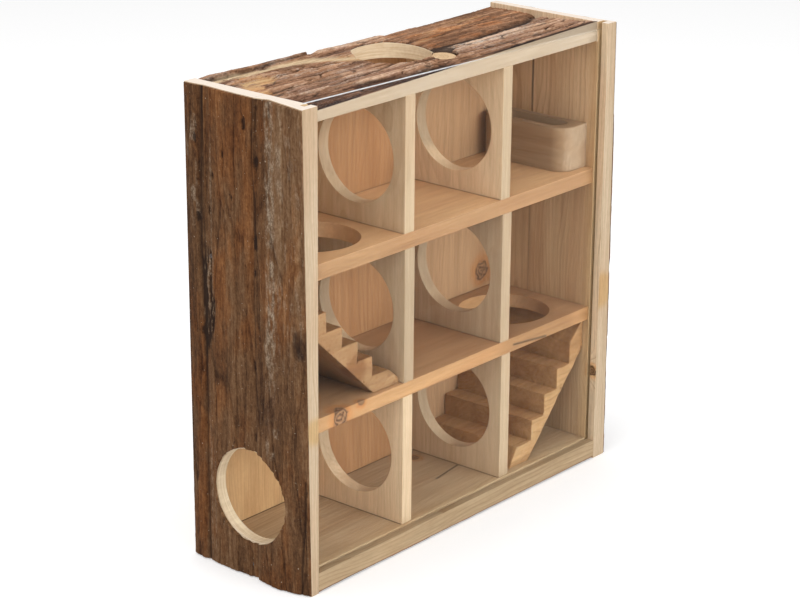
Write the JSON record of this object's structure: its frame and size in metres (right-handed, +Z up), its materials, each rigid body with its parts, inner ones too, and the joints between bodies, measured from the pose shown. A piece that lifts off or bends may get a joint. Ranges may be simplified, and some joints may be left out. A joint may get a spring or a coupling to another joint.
{
  "type": "small animal house",
  "caption": "Flat upright wooden rodent house with bark-faced boards, cells joined by round holes, stairs, a food trough and a clear lift-out front pane.",
  "frame": {"origin": "middle of the footprint, on the surface the house stands on", "axes": "+Z up, the clear pane faces -Y, the side with the entrance faces -X"},
  "size_m": [0.3051, 0.096, 0.3013],
  "materials": {
    "bark": "rough natural bark",
    "side_wood": "sawn, untreated",
    "roof_wood": "sawn, untreated",
    "floor_wood": "sawn, untreated",
    "back_wood": "planed, untreated",
    "shelf_wood": "planed, untreated",
    "divider_wood": "planed, untreated",
    "stair_wood": "sawn, untreated",
    "trough_wood": "planed, untreated",
    "clear_pane": "clear, polished",
    "nail_steel": "dull wire nails"
  },
  "bodies": {
    "house": {"back_nails": "nail_steel", "back_stave_left": "back_wood", "back_stave_middle": "back_wood", "back_stave_right": "back_wood", "bottom_bark_back": "bark", "bottom_bark_front": "bark", "bottom_plank_back": "floor_wood", "bottom_plank_front": "floor_wood", "divider_bottom_left": "divider_wood", "divider_bottom_right": "divider_wood", "divider_middle_left": "divider_wood", "divider_middle_right": "divider_wood", "divider_top_left": "divider_wood", "divider_top_right": "divider_wood", "food_trough": "trough_wood", "left_bark_back": "bark", "left_bark_front": "bark", "left_bark_middle": "bark", "left_nails": "nail_steel", "left_plank_back": "side_wood", "left_plank_front": "side_wood", "left_plank_middle": "side_wood", "left_stair": "stair_wood", "lower_shelf": "shelf_wood", "right_bark_back": "bark", "right_bark_front": "bark", "right_bark_middle": "bark", "right_nails": "nail_steel", "right_plank_back": "side_wood", "right_plank_front": "side_wood", "right_plank_middle": "side_wood", "right_stair": "stair_wood", "top_bark_back": "bark", "top_bark_front": "bark", "top_plank_back": "roof_wood", "top_plank_front": "roof_wood", "upper_shelf": "shelf_wood"},
    "pane": {"front_pane": "clear_pane"}
  },
  "joints": [
    {"name": "pane_slide", "type": "slide", "parent": "house", "child": "pane", "axis": [0, 0, 1], "range_m": [0, 0.295]}
  ]
}
